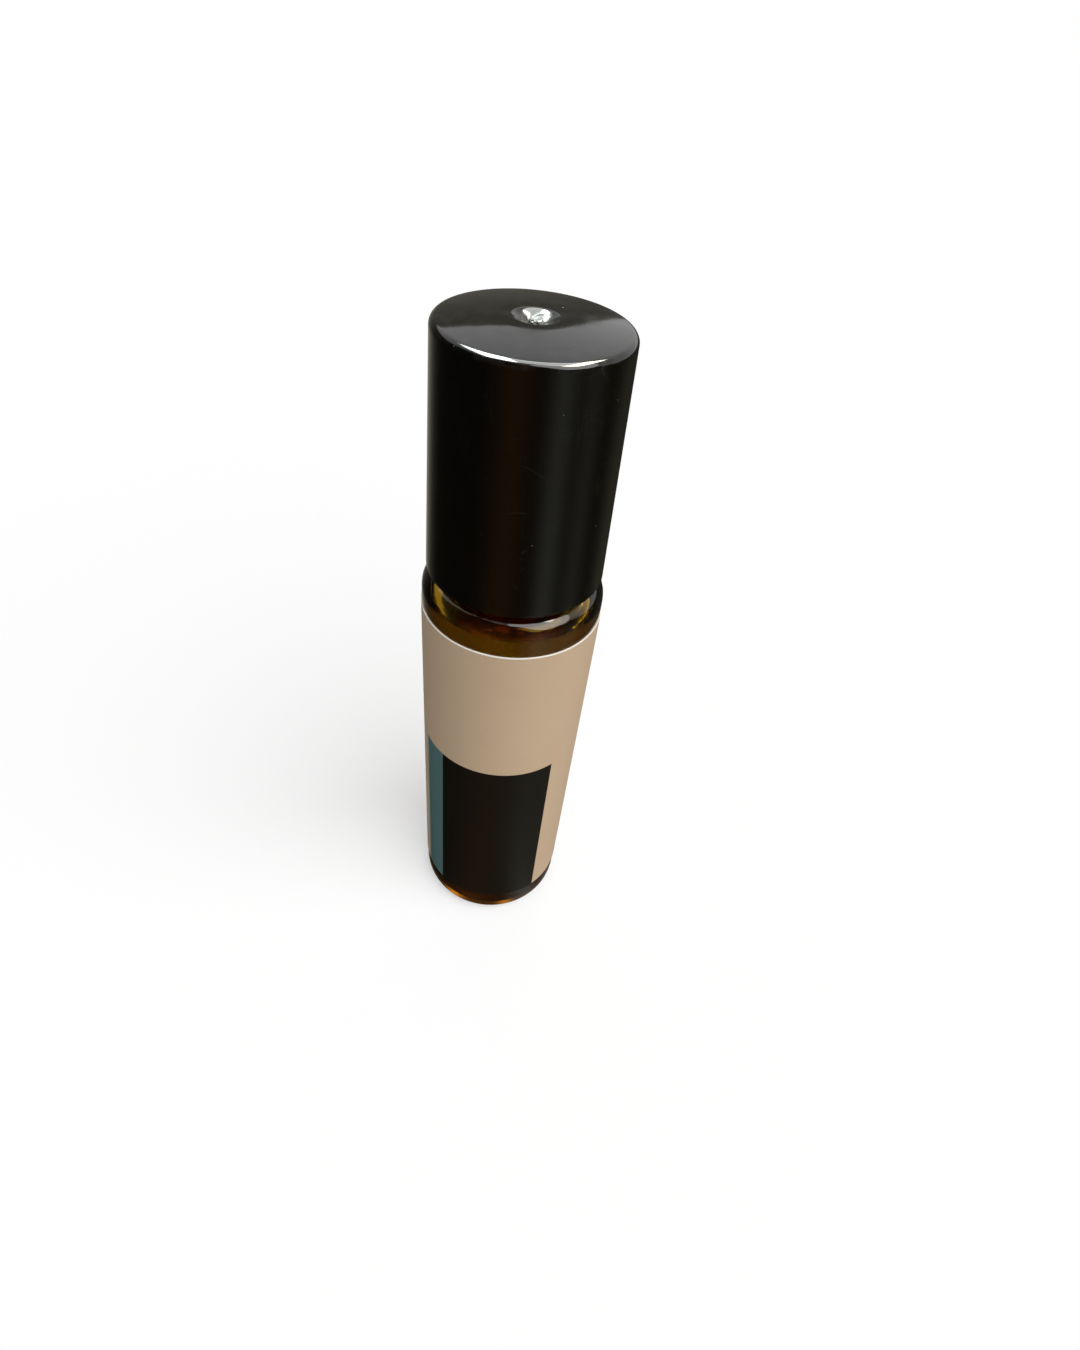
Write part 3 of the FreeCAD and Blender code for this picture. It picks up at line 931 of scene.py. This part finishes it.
@dataclass
class WrapLabel:
    """The paper label, one sheet round the body with a gap at the back."""

    radius: float
    foot: float
    head: float
    thickness: float = 0.1
    seam_gap: float = 0.05
    ripple: float = 0.014
    rows: int = 90
    columns: int = 260

    seat = Seat(Body.BOTTLE, "label_paper", "wrap_label")

    @classmethod
    def from_frame(cls) -> "WrapLabel":
        """The label, where its CAD node is."""
        low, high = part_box(cls.seat.node)
        return cls(radius=-low.y / MM, foot=low.z / MM, head=high.z / MM)

    @property
    def wrap_angle(self) -> float:
        """The angle that the sheet goes round."""
        return TURN - self.seam_gap / self.radius

    @property
    def shares(self) -> Sequence[Array]:
        """How far round and how far up the sheet each point of a face lies."""
        return np.meshgrid(np.linspace(0, 1, self.columns), np.linspace(0, 1, self.rows))

    def face(self, radius: float) -> Array:
        """One face of the sheet.

        A point at shares u round and v up lies at the angle (u - 1/2) times the wrap from the front and at
        foot + v (head - foot). Shallow ripples, strongest near the cut edges, draw it in towards the glass.
        """
        round_share, up_share = self.shares
        angle = (round_share - 0.5) * self.wrap_angle
        up = self.foot + up_share * (self.head - self.foot)
        near_edge = 0.25 + 0.75 * np.abs(2 * up_share - 1) ** 4
        wave = 0.5 + 0.5 * np.sin(7 * angle + 0.22 * up) * np.cos(3 * angle - 0.13 * up)
        drawn = radius - self.ripple * near_edge * wave
        return np.stack([drawn * np.sin(angle), -drawn * np.cos(angle), up], axis=-1)

    def build(self) -> bpy.types.Object:
        """The sheet, closed along its cut edges."""
        outer, inner = self.face(self.radius), self.face(self.radius - self.thickness)
        return make_object("label_sheet", sheet(outer, inner, np.stack(self.shares, axis=-1)))

    def dress(self, piece: bpy.types.Object) -> None:
        """Printed paper outside, plain paper on the back and along the cut edges."""
        printed = PrintedPaper(math.degrees(self.wrap_angle), self.foot, self.head)
        # The back's last number, 0.03, is the share of its colour left low down: painted shade inside the
        # bottle.
        back = PlainPaper("label_back", (0.95, 0.72, 0.36), 0.25, 0.03)
        edge = PlainPaper("label_edge", (0.86, 0.82, 0.74))
        for finish in (printed, back, edge):
            piece.data.materials.append(finish.material())


@dataclass
class RollerFitment:
    """The moulded fitment that holds the ball, which keeps its CAD shape."""

    node: str = "roller_fitment"

    finish = NaturalPlastic()

    def dress(self) -> None:
        """Natural plastic on the CAD node."""
        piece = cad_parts[self.node]
        piece.data.materials.clear()
        piece.data.materials.append(self.finish.material())
        log.info("%s: CAD shape kept, %d faces", self.node, len(piece.data.polygons))


@dataclass
class RollerBall(Turned):
    """The ball that rolls in the fitment."""

    radius: float
    middle: float
    rows: int = 72
    segments: int = 144

    name = "ball_steel"
    seat = Seat(Body.BALL, "ball_steel", "roller_ball")
    finish = PolishedSteel()

    @classmethod
    def from_frame(cls) -> "RollerBall":
        """The ball, where its CAD node is."""
        low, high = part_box(cls.seat.node)
        return cls(radius=(high.z - low.z) / 2 / MM, middle=(high.z + low.z) / 2 / MM)

    def line(self) -> Array:
        """Half a circle, from pole to pole."""
        angle = np.linspace(-TURN / 4, TURN / 4, self.rows)
        across, up = self.radius * np.cos(angle), self.middle + self.radius * np.sin(angle)
        return np.stack([across, up], axis=-1)


@dataclass
class ScrewCap(Turned):
    """The tall cap: tapered outside, domed top with its gate dimple, stepped and threaded inside."""

    mouth: float
    mouth_radius: float
    ball_middle: float
    ball_radius: float
    draft: float = 0.6
    wall: float = 1.4
    edge_round: float = 0.7
    mouth_round: float = 0.35
    lead: float = 0.35
    headroom: float = 3.15
    top_thickness: float = 1.75
    dome_height: float = 0.65
    upper_bore: float = 7.6
    step_low: float = 70.5
    step_high: float = 71.3
    ceiling_round: float = 0.6
    ring_inner: float = 3.0
    ring_outer: float = 3.9
    ring_foot: float = 77.984
    ring_relief: float = 4.87
    ring_round: float = 0.3
    dimple_radius: float = 2.2
    dimple_depth: float = 0.8
    sink_radius: float = 3.6
    sink_depth: float = 0.08
    stub_radius: float = 0.62
    stub_height: float = 0.34
    near_bore: float = 0.05
    ring_rows: int = 6
    ring_step: float = 0.8
    bore_step: float = 0.9
    thread_step: float = 0.12
    edge_sides: int = 14
    wall_step: float = 0.7
    top_rows: int = 110
    segments: int = 240

    name = "cap_moulding"
    ridge = Thread(foot=4.8, pitch=3.0, turns=1.5, rise=0.55, width=1.1, flank=0.4)
    seat = Seat(Body.CAP, "black_plastic", "screw_cap")
    finish = GlossPlastic()

    @classmethod
    def from_frame(cls, ball: RollerBall) -> "ScrewCap":
        """The cap, where its CAD node is, over this ball."""
        low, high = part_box(cls.seat.node)
        return cls(low.z / MM, high.x / MM, ball.middle, ball.radius)

    @property
    def ceiling(self) -> float:
        """The height of the flat inside of the top."""
        return self.ball_middle + self.ball_radius + self.headroom

    @property
    def edge(self) -> float:
        """The height where the wall would meet the dome, were the edge not rounded."""
        return self.ceiling + self.top_thickness

    @property
    def top_radius(self) -> float:
        """The radius of the wall at that height."""
        return self.mouth_radius - self.draft

    def dome(self, across: Array) -> Array:
        """The height of the top: a sphere through the edge, of radius (R^2 + h^2) / 2h."""
        sphere = (self.top_radius**2 + self.dome_height**2) / (2 * self.dome_height)
        return self.edge + self.dome_height - sphere + np.sqrt(sphere**2 - across**2)

    @property
    def bore(self) -> float:
        """The radius of the threaded bore."""
        return self.mouth_radius - self.wall

    @property
    def thread(self) -> Thread:
        """The ridge inside the bore, which runs between the turns of the neck's."""
        return replace(self.ridge, foot=self.mouth + self.ridge.foot)

    def inside(self) -> Array:
        """The inner half of the profile, from the ceiling's middle down to the mouth's lead."""
        ceiling = self.ceiling
        foot_across = math.sqrt(self.ring_relief**2 - (self.ring_foot - self.ball_middle) ** 2)
        relief_across = np.linspace(self.ring_inner, foot_across, self.ring_rows)
        relief = self.ball_middle + np.sqrt(self.ring_relief**2 - relief_across**2)
        upper = rounded([
            Corner(0, ceiling),
            Corner(self.ring_inner, ceiling, self.ring_round),
            Corner(self.ring_inner, relief[0]),
        ])
        lower = rounded([
            Corner(self.ring_outer, self.ring_foot),
            Corner(self.ring_outer, ceiling, self.ring_round),
            Corner(self.upper_bore, ceiling, self.ceiling_round),
            Corner(self.upper_bore, self.step_high),
            Corner(self.bore, self.step_low),
        ])
        bore_ends = np.array([(self.bore, self.step_low), (self.bore, self.mouth + self.lead)])
        threaded = refine(bore_ends, self.thread_step)
        ring_end = np.stack([relief_across, relief], axis=-1)
        upper, lower = refine(upper, self.ring_step), refine(lower, self.bore_step)
        return np.vstack([upper[:-1], ring_end, lower[:-1], threaded])

    def outside(self) -> Array:
        """The outer half of the profile, from the mouth up the wall and over the edge to the top's middle."""
        inner = self.top_radius - 2 * self.edge_round
        across = np.linspace(inner, 0, self.top_rows)
        top = self.dome(across)
        wall = rounded([
            Corner(self.bore + self.lead, self.mouth),
            Corner(self.mouth_radius, self.mouth, self.mouth_round),
            Corner(self.top_radius, self.edge, self.edge_round),
            Corner(inner, float(top[0])),
        ], self.edge_sides)
        return np.vstack([refine(wall, self.wall_step)[:-1], np.stack([across, top], axis=-1)])

    def line(self) -> Array:
        """The half profile from the ceiling's middle, round the mouth, to the top's middle."""
        line = np.vstack([self.inside(), self.outside()])
        line[-1, 1] += self.sink(np.zeros(1), np.zeros(1))[0]
        return line

    def sink(self, across: Array, angle: Array) -> Array:
        """How far the top's middle lies below the dome.

        The shallow sink adds (1 - s^2)^2 of its depth and the dimple (1 - s^2)^1.5 of its own, with s the
        share of each one's radius. The torn stub of the gate stands in the dimple, with a ragged end.
        """
        sink = -self.sink_depth * np.clip(1 - (across / self.sink_radius) ** 2, 0, 1) ** 2
        dimple = -self.dimple_depth * np.clip(1 - (across / self.dimple_radius) ** 2, 0, 1) ** 1.5
        ragged = 0.72 + 0.2 * np.sin(2 * angle + 0.6) + 0.14 * np.sin(5 * angle + 9 * across)
        lip = self.stub_radius * (1 + 0.16 * np.sin(3 * angle + 1.1))
        stub = self.stub_height * ragged * smooth((lip - across) / 0.16 + 0.5)
        crater = 0.09 * np.sin(4 * angle + 2.2 * across) * smooth(1 - np.abs(across - 1.1) / 0.6)
        return sink + dimple + stub * smooth(across / 0.3 + 0.4) + crater

    def shift(self, across: Array, up: Array, angle: Array) -> tuple[Array, Array]:
        """The thread inside the bore, and the sunk middle of the top."""
        in_bore = (np.abs(across - self.bore) < self.near_bore) & (up < self.step_low)
        out = -self.thread.height(up, angle) * in_bore
        return out, self.sink(across, angle) * (up > self.edge)


# Studio


@dataclass(frozen=True)
class Viewpoint:
    """The camera, where the photograph was taken from: place in millimetres, and angles in degrees."""

    eye: Colour = (0.0, -65.0225, 106.0716)
    right_turn: float = 3.8242
    down_tilt: float = 44.352
    roll: float = 7.5617
    lens: float = 19.1966
    sensor: float = 36.0
    near: float = 5.0
    far: float = 50000.0

    def axes(self) -> Matrix:
        """The camera's right, up and backward axes, as the columns of a matrix."""
        turn, tilt, roll = (math.radians(a) for a in (self.right_turn, self.down_tilt, self.roll))
        forward = Vector((math.sin(turn) * math.cos(tilt), math.cos(turn) * math.cos(tilt), -math.sin(tilt)))
        level = Vector((math.cos(turn), -math.sin(turn), 0))
        rise = level.cross(forward)
        right = level * math.cos(roll) + rise * math.sin(roll)
        up = rise * math.cos(roll) - level * math.sin(roll)
        return Matrix((right, up, -forward)).transposed()

    def place(self) -> bpy.types.Object:
        """Make the camera and give it to the scene."""
        data = bpy.data.cameras.new("photo_camera")
        data.lens, data.sensor_width = self.lens, self.sensor
        data.clip_start, data.clip_end = self.near * MM, self.far * MM
        camera = add_object("photo_camera", data)
        camera.matrix_world = Matrix.Translation(Vector(self.eye) * MM) @ self.axes().to_4x4()
        bpy.context.scene.camera = camera
        return camera


@dataclass(frozen=True)
class Patch:
    """A soft patch of light in the surround: its azimuth and width in degrees, and its colour."""

    azimuth: float
    width: float
    colour: Colour

    def spread(self, azimuth: Array) -> Array:
        """The colour at each azimuth, times the bell exp(-(a / width)^2) of the angle a from the middle."""
        away = (azimuth - self.azimuth + 180) % 360 - 180
        return np.exp(-((away / self.width) ** 2))[:, None] * np.array(self.colour)


@dataclass(frozen=True)
class Surround:
    """Dark cloth on the floor and a dark screen round it, which only gloss and glass see.

    Azimuths are degrees from the front towards +X, and a screen height is an angle seen from the cap's top.
    """

    reach: float = 450.0
    lift: float = 0.02
    eye_height: float = 85.0
    columns: int = 180
    cloth: Colour = (0.018, 0.017, 0.014)
    behind: Colour = (1.0, 0.88, 0.70)
    # The next colour and the patches under the heel further down are painted light: an orange pool on the
    # rings just under the heel, which its glass shows as glints.
    painted_heel_glow: Colour = (0.038, 0.017, 0.003)
    rings: tuple[float, ...] = (0.5, 5.4, 6.2, 8.2, 9.0, 60, 150, 300)
    painted_glint_rings: tuple[int, int] = (2, 3)
    azimuths: tuple[float, ...] = (0, 20, 40, 75, 100, 120, 150, 168, 174, 180, 205, 250, 300, 360)
    heights: tuple[float, ...] = (60, 50, 25, 22, 5, 2, 3, 7, 20, 24, 24, 28, 60, 60)
    beyond_azimuths: tuple[float, ...] = (0, 55, 75, 110, 130, 165, 180, 200, 235, 270, 290, 305, 360)
    beyond_levels: tuple[float, ...] = (
        0.01, 0.01, 0.08, 0.10, 0.5, 0.5, 0.1, 0.35, 0.4, 0.3, 0.06, 0.01, 0.01
    )

    on_floor = (
        Patch(-14, 24, (0.15, 0.055, 0.012)),
        Patch(37, 15, (0.28, 0.28, 0.25)),
        Patch(72, 16, (0.14, 0.135, 0.115)),
        Patch(125, 22, (0.055, 0.053, 0.035)),
        Patch(202, 24, (0.34, 0.32, 0.26)),
    )
    on_screen = (Patch(185, 60, (0.14, 0.135, 0.115)),)
    # Painted glints: orange patches of light under the heel, in place of light focused through the glass.
    painted_heel_glints = (Patch(-35, 9, (0.75, 0.33, 0.06)), Patch(19, 7, (0.53, 0.23, 0.042)))

    def grid(self) -> tuple[Array, Array]:
        """The points, as rows by columns by three, and the azimuth of each column.

        The rows run outwards over the floor and then up the screen, whose top follows the heights.
        """
        azimuth = np.linspace(0, 360, self.columns, endpoint=False)
        turned = np.radians(azimuth)
        height = np.radians(np.interp(azimuth, self.azimuths, self.heights))
        top = self.eye_height + self.reach * np.tan(height)
        across = np.array([*self.rings, self.reach, self.reach])[:, None]
        share = np.arange(len(across))[:, None] == len(across) - 1
        up = self.lift + share * top
        points = np.stack(np.broadcast_arrays(across * np.sin(turned), -across * np.cos(turned), up), axis=-1)
        return points, azimuth

    def glow(self, azimuth: Array) -> Array:
        """The colour of each point by reflection: the cloth and the screen with their patches."""
        floor = self.cloth + sum(patch.spread(azimuth) for patch in self.on_floor)
        screen = self.cloth + sum(patch.spread(azimuth) for patch in self.on_screen)
        return np.stack([floor] * (len(self.rings) + 1) + [screen])

    def beyond(self, azimuth: Array) -> Array:
        """The colour of each point through glass: a level by azimuth, and orange painted glints in a pool of
        light under the heel.
        """
        level = np.interp(azimuth, self.beyond_azimuths, self.beyond_levels)[:, None]
        colours = np.stack([level * self.behind] * (len(self.rings) + 2))
        # Painted light: the orange pool under the heel, on the rings given for it.
        warm = self.painted_heel_glow + sum(patch.spread(azimuth) for patch in self.painted_heel_glints)
        colours[list(self.painted_glint_rings)] += warm
        return colours

    def material(self) -> bpy.types.Material:
        """Its own dim glow, a warmer one through glass, and nothing at all for light on its way to paper."""
        graph = Graph.material("surround_dark")
        path = graph.node("ShaderNodeLightPath")
        layers = (graph.node("ShaderNodeAttribute", {"attribute_name": name}) for name in ("glow", "beyond"))
        glow, beyond = (layer.outputs["Color"] for layer in layers)
        tone = graph.mix(graph.value(path, Ray.TRANSMISSION.value), glow, beyond)
        shade = graph.node("ShaderNodeEmission", None, {"Color": tone, "Strength": 1.0})
        open_way = graph.node("ShaderNodeBsdfTransparent")
        lighting = graph.value(path, "Diffuse Depth").step(0.4, 0.6)
        ways = {0: lighting, 1: shade.outputs[0], 2: open_way.outputs[0]}
        return graph.finish(graph.node("ShaderNodeMixShader", None, ways))

    def build(self) -> bpy.types.Object:
        """The cloth and screen, hidden from the camera and from plain light."""
        points, azimuth = self.grid()
        faces = grid_faces(len(points), self.columns, True).tolist()
        piece = make_object("studio_surround", Surface(points.reshape(-1, 3), faces))
        for name, colours in (("glow", self.glow(azimuth)), ("beyond", self.beyond(azimuth))):
            layer = piece.data.attributes.new(name, "FLOAT_COLOR", "POINT")
            opaque = np.concatenate([colours, np.ones((len(points), self.columns, 1))], axis=-1)
            layer.data.foreach_set("color", opaque.astype(np.float32).ravel())
        piece.data.materials.append(self.material())
        piece.visible_camera = piece.visible_diffuse = piece.visible_shadow = False
        return piece


@dataclass(frozen=True)
class StripLamp:
    """A long lamp overhead that only gives shine: its place and size in millimetres, and its radiance."""

    name: str
    across: float
    width: float
    level: float
    tint: Colour
    front: float = -120.0
    back: float = 390.0
    height: float = 685.0

    def place(self) -> None:
        """Hang the lamp, facing down."""
        data = bpy.data.lights.new(self.name, "AREA")
        data.shape, data.size, data.size_y = "RECTANGLE", self.width * MM, (self.back - self.front) * MM
        data.energy, data.color = self.level * math.pi * data.size * data.size_y, self.tint
        lamp = add_object(self.name, data)
        lamp.location = Vector((self.across, (self.front + self.back) / 2, self.height)) * MM
        lamp.visible_camera = lamp.visible_diffuse = lamp.visible_transmission = False


@dataclass(frozen=True)
class Studio:
    """A white floor under soft light, with dark cloth round it for the reflections."""

    floor_span: float = 12.0
    floor_shade: float = 0.6
    sky_level: float = 0.35
    key_level: float = 0.85
    key_side: float = 48.0
    key_height: float = 50.0
    key_softness: float = 60.0

    strips = (
        StripLamp("strip_left", -250.0, 300.0, 40.0, (0.92, 1.0, 0.96)),
        StripLamp("strip_middle", 65.0, 330.0, 8.0, (0.96, 1.0, 0.95)),
        StripLamp("strip_right", 330.0, 194.0, 42.0, (1.0, 0.94, 0.76), -160.0),
    )

    def world(self) -> None:
        """Even light from all round, which shows as white."""
        world = bpy.data.worlds.new("studio")
        graph = Graph(world)
        strength = self.sky_level + graph.seen() * (1 - self.sky_level)
        light = graph.node("ShaderNodeBackground", None, {"Color": (1, 1, 1), "Strength": strength})
        graph.node("ShaderNodeOutputWorld", None, {"Surface": light.outputs[0]})
        bpy.context.scene.world = world

    def floor(self) -> bpy.types.Object:
        """A plain pale floor, which shows as white where nothing shades it."""
        half = self.floor_span / 2 / MM
        corners = np.array([(-half, -half, 0), (half, -half, 0), (half, half, 0), (-half, half, 0)])
        floor = make_object("studio_floor", Surface(corners, [[0, 1, 2, 3]]))
        graph = Graph.material("floor_white")
        shade = self.floor_shade
        base = graph.node("ShaderNodeBsdfDiffuse", None, {"Color": (shade, shade, shade)})
        glow = graph.node("ShaderNodeEmission", None, {"Strength": graph.seen() * (1 - shade)})
        both = graph.node("ShaderNodeAddShader", None, {0: base.outputs[0], 1: glow.outputs[0]})
        floor.data.materials.append(graph.finish(both))
        return floor

    def key(self) -> None:
        """A broad soft lamp from the front right."""
        data = bpy.data.lights.new("key", "SUN")
        data.energy = self.key_level * math.pi
        data.angle = math.radians(self.key_softness)
        lamp = add_object("key", data)
        side, height = math.radians(self.key_side), math.radians(self.key_height)
        level = math.cos(height)
        towards = Vector((math.sin(side) * level, -math.cos(side) * level, math.sin(height)))
        lamp.rotation_euler = towards.to_track_quat("Z", "Y").to_euler()

    def build(self) -> None:
        """Set up the world, the floor with its dark surround, and the lamps."""
        self.world()
        self.floor()
        Surround().build()
        self.key()
        for strip in self.strips:
            strip.place()


def main() -> None:
    """Build and dress every piece, then set up the studio and the camera."""
    logging.basicConfig(level=logging.INFO, format="%(name)s %(message)s")
    bpy.context.scene.view_settings.view_transform = "Standard"
    glass = GlassBottle.from_frame()
    ball = RollerBall.from_frame()
    oil, label, cap = OilFill.from_frame(glass), WrapLabel.from_frame(), ScrewCap.from_frame(ball)
    parts: tuple[SubAssembly, ...] = (glass, oil, label, ball, cap)
    for part in parts:
        piece = part.build()
        part.dress(piece)
        part.seat.settle(piece)
    RollerFitment().dress()
    Studio().build()
    Viewpoint().place()


if __name__ == "__main__":
    main()
